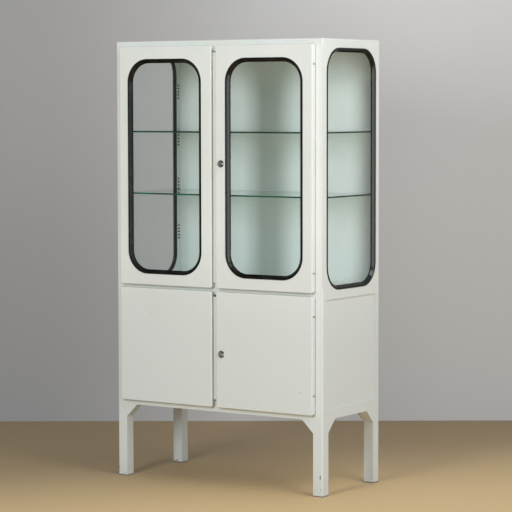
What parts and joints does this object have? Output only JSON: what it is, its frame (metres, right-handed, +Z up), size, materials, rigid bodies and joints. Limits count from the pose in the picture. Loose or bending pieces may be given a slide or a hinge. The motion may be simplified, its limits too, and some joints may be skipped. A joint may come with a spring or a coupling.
{
  "type": "glass door medical cabinet",
  "caption": "Free-standing enamelled steel medical cabinet on square legs: glazed upper doors and sides with black rubber gaskets, solid lower doors, glass shelves and cam locks.",
  "frame": {"origin": "on the floor, in the middle of the whole object's footprint, locks and foot plates included", "axes": "+Z up, the doors face -Y, +X to the right seen from the front"},
  "size_m": [0.965, 0.4544, 1.73],
  "materials": {
    "enamel": "semi-gloss white enamel",
    "rubber": "satin black",
    "pane_glass": "clear polished",
    "shelf_glass": "clear polished, green edges",
    "chrome": "polished",
    "zinc": "dull zinc plate"
  },
  "bodies": {
    "cabinet": {"front_left_post": "enamel", "front_right_post": "enamel", "rear_left_post": "enamel", "rear_right_post": "enamel", "front_left_foot": "enamel", "front_right_foot": "enamel", "rear_left_foot": "enamel", "rear_right_foot": "enamel", "front_apron": "enamel", "rear_apron": "enamel", "left_apron": "enamel", "right_apron": "enamel", "mid_rail": "enamel", "top_rail": "enamel", "left_mid_side_rail": "enamel", "right_mid_side_rail": "enamel", "left_top_side_rail": "enamel", "right_top_side_rail": "enamel", "bottom_panel": "enamel", "mid_deck": "enamel", "top_cap": "enamel", "back_panel": "enamel", "left_lower_side_panel": "enamel", "right_lower_side_panel": "enamel", "left_side_gasket": "rubber", "right_side_gasket": "rubber", "left_side_glass": "pane_glass", "right_side_glass": "pane_glass", "upper_shelf": "shelf_glass", "lower_shelf": "shelf_glass", "upper_shelf_clip_front_left": "zinc", "upper_shelf_clip_front_right": "zinc", "upper_shelf_clip_rear_left": "zinc", "upper_shelf_clip_rear_right": "zinc", "lower_shelf_clip_front_left": "zinc", "lower_shelf_clip_front_right": "zinc", "lower_shelf_clip_rear_left": "zinc", "lower_shelf_clip_rear_right": "zinc"},
    "upper_left_door": {"upper_left_door_shell": "enamel", "upper_left_door_liner": "enamel", "upper_left_door_gasket": "rubber", "upper_left_door_glass": "pane_glass", "upper_meeting_strip": "enamel"},
    "upper_right_door": {"upper_right_door_shell": "enamel", "upper_right_door_liner": "enamel", "upper_right_door_gasket": "rubber", "upper_right_door_glass": "pane_glass", "upper_lock_barrel": "chrome"},
    "lower_left_door": {"lower_left_door_shell": "enamel", "lower_left_door_liner": "enamel", "lower_meeting_strip": "enamel"},
    "lower_right_door": {"lower_right_door_shell": "enamel", "lower_right_door_liner": "enamel", "lower_lock_barrel": "chrome"},
    "upper_lock": {"upper_lock_plug": "chrome", "upper_lock_cam": "zinc"},
    "lower_lock": {"lower_lock_plug": "chrome", "lower_lock_cam": "zinc"},
    "upper_slide_bolt": {"upper_bolt": "zinc"},
    "lower_slide_bolt": {"lower_bolt": "zinc"}
  },
  "joints": [
    {"name": "upper_left_door_swing", "type": "hinge", "parent": "cabinet", "child": "upper_left_door", "pos_m": [-0.4415, -0.20925, 1.24125], "axis": [0, 0, -1], "range_deg": [0, 105]},
    {"name": "upper_right_door_swing", "type": "hinge", "parent": "cabinet", "child": "upper_right_door", "pos_m": [0.4415, -0.20925, 1.24125], "axis": [0, 0, 1], "range_deg": [0, 105]},
    {"name": "lower_left_door_swing", "type": "hinge", "parent": "cabinet", "child": "lower_left_door", "pos_m": [-0.4415, -0.20925, 0.53525], "axis": [0, 0, -1], "range_deg": [0, 105]},
    {"name": "lower_right_door_swing", "type": "hinge", "parent": "cabinet", "child": "lower_right_door", "pos_m": [0.4415, -0.20925, 0.53525], "axis": [0, 0, 1], "range_deg": [0, 105]},
    {"name": "upper_lock_turn", "type": "hinge", "parent": "upper_right_door", "child": "upper_lock", "pos_m": [0.036, -0.21925, 1.255], "axis": [0, 1, 0], "range_deg": [0, 90]},
    {"name": "lower_lock_turn", "type": "hinge", "parent": "lower_right_door", "child": "lower_lock", "pos_m": [0.036, -0.21925, 0.519], "axis": [0, 1, 0], "range_deg": [0, 90]},
    {"name": "upper_bolt_slide", "type": "slide", "parent": "upper_left_door", "child": "upper_slide_bolt", "axis": [0, 0, 1], "range_m": [0, 0.012]},
    {"name": "lower_bolt_slide", "type": "slide", "parent": "lower_left_door", "child": "lower_slide_bolt", "axis": [0, 0, 1], "range_m": [0, 0.012]}
  ]
}
